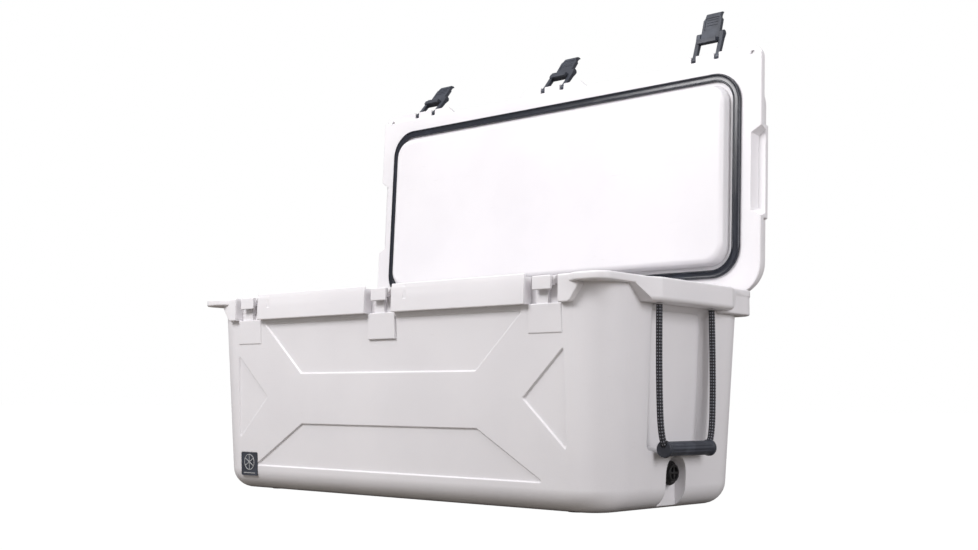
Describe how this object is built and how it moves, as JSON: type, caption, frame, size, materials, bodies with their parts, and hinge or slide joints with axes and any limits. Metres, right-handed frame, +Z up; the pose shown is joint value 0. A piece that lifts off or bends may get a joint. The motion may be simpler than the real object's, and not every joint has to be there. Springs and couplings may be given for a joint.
{
  "type": "cooler chest",
  "caption": "Long white insulated chest with a hinged gasketed lid standing open, over-centre latches on its front edge, rope handles and an end drain.",
  "frame": {"origin": "middle of the tub's flat underside", "axes": "+X along the tub towards the drain end, -Y out of the front with the latches, +Z up"},
  "size_m": [1.1202, 0.6345, 0.9973],
  "materials": {
    "shell": "satin moulded polyethylene",
    "foam": "rigid foam",
    "gasket": "satin extruded seal",
    "slate": "fine-textured moulding",
    "black_plastic": "satin moulding",
    "rope": "braided cord",
    "rubber": "matt rubber",
    "steel": "stainless",
    "bush": "nylon"
  },
  "bodies": {
    "root": {"tub_shell": "shell", "tub_foam": "foam", "tub_fill_plug_left": "shell", "hinge_rod_left": "steel", "rope_knot_front_left": "rope", "rope_knot_rear_left": "rope", "foot_front_left": "rubber", "foot_rear_left": "rubber", "tub_fill_plug_right": "shell", "hinge_rod_right": "steel", "rope_knot_front_right": "rope", "rope_knot_rear_right": "rope", "foot_front_right": "rubber", "foot_rear_right": "rubber", "drain_fitting": "black_plastic", "drain_nut": "black_plastic", "badge_plate": "slate"},
    "lid": {"lid_shell": "shell", "lid_foam": "foam", "lid_gasket": "gasket", "lid_fill_plug_left": "shell", "lid_fill_plug_right": "shell", "hinge_bush_left": "bush", "hinge_bush_right": "bush", "latch_pin_left": "steel", "latch_pin_middle": "steel", "latch_pin_right": "steel"},
    "link_left": {"latch_arm_left_left": "slate", "latch_arm_left_right": "slate", "lever_pin_left": "steel"},
    "lever_left": {"latch_lever_left": "slate"},
    "link_middle": {"latch_arm_middle_left": "slate", "latch_arm_middle_right": "slate", "lever_pin_middle": "steel"},
    "lever_middle": {"latch_lever_middle": "slate"},
    "link_right": {"latch_arm_right_left": "slate", "latch_arm_right_right": "slate", "lever_pin_right": "steel"},
    "lever_right": {"latch_lever_right": "slate"},
    "handle_left": {"handle_rope_left": "rope", "handle_grip_left": "slate"},
    "handle_right": {"handle_rope_right": "rope", "handle_grip_right": "slate"},
    "drain_seal": {"drain_seal": "rubber"},
    "drain_cap": {"drain_cap": "black_plastic"}
  },
  "joints": [
    {"name": "lid_hinge", "type": "hinge", "parent": "root", "child": "lid", "pos_m": [0, 0.25004, 0.392], "axis": [1, 0, 0], "range_deg": [0, 92.4]},
    {"name": "latch_link_left", "type": "hinge", "parent": "lid", "child": "link_left", "pos_m": [-0.4, 0.29127, 0.8909], "axis": [1, 0, 0], "range_deg": [-11.5, 132.5]},
    {"name": "latch_lever_left", "type": "hinge", "parent": "link_left", "child": "lever_left", "pos_m": [-0.4, 0.33075, 0.93339], "axis": [1, 0, 0], "range_deg": [-106, 4]},
    {"name": "latch_link_middle", "type": "hinge", "parent": "lid", "child": "link_middle", "pos_m": [0, 0.29127, 0.8909], "axis": [1, 0, 0], "range_deg": [-13.5, 130.5]},
    {"name": "latch_lever_middle", "type": "hinge", "parent": "link_middle", "child": "lever_middle", "pos_m": [0, 0.32925, 0.93474], "axis": [1, 0, 0], "range_deg": [-106, 4]},
    {"name": "latch_link_right", "type": "hinge", "parent": "lid", "child": "link_right", "pos_m": [0.4, 0.29127, 0.8909], "axis": [1, 0, 0], "range_deg": [-33.5, 110.5]},
    {"name": "latch_lever_right", "type": "hinge", "parent": "link_right", "child": "lever_right", "pos_m": [0.4, 0.31196, 0.94508], "axis": [1, 0, 0], "range_deg": [-106, 4]},
    {"name": "handle_swing_left", "type": "hinge", "parent": "root", "child": "handle_left", "pos_m": [-0.53314, 0, 0.349], "axis": [0, 1, 0], "range_deg": [0, 85]},
    {"name": "handle_swing_right", "type": "hinge", "parent": "root", "child": "handle_right", "pos_m": [0.53314, 0, 0.349], "axis": [0, -1, 0], "range_deg": [0, 85]},
    {"name": "drain_seal_travel", "type": "slide", "parent": "root", "child": "drain_seal", "axis": [1, 0, 0], "range_m": [0, 0.006]},
    {"name": "drain_cap_turn", "type": "hinge", "parent": "drain_seal", "child": "drain_cap", "pos_m": [0.4936, 0, 0.063], "axis": [1, 0, 0], "range_deg": [0, 720]}
  ],
  "couplings": [
    {"joint": "drain_cap_turn", "follows": "drain_seal_travel", "rad_per_m": 2094}
  ]
}
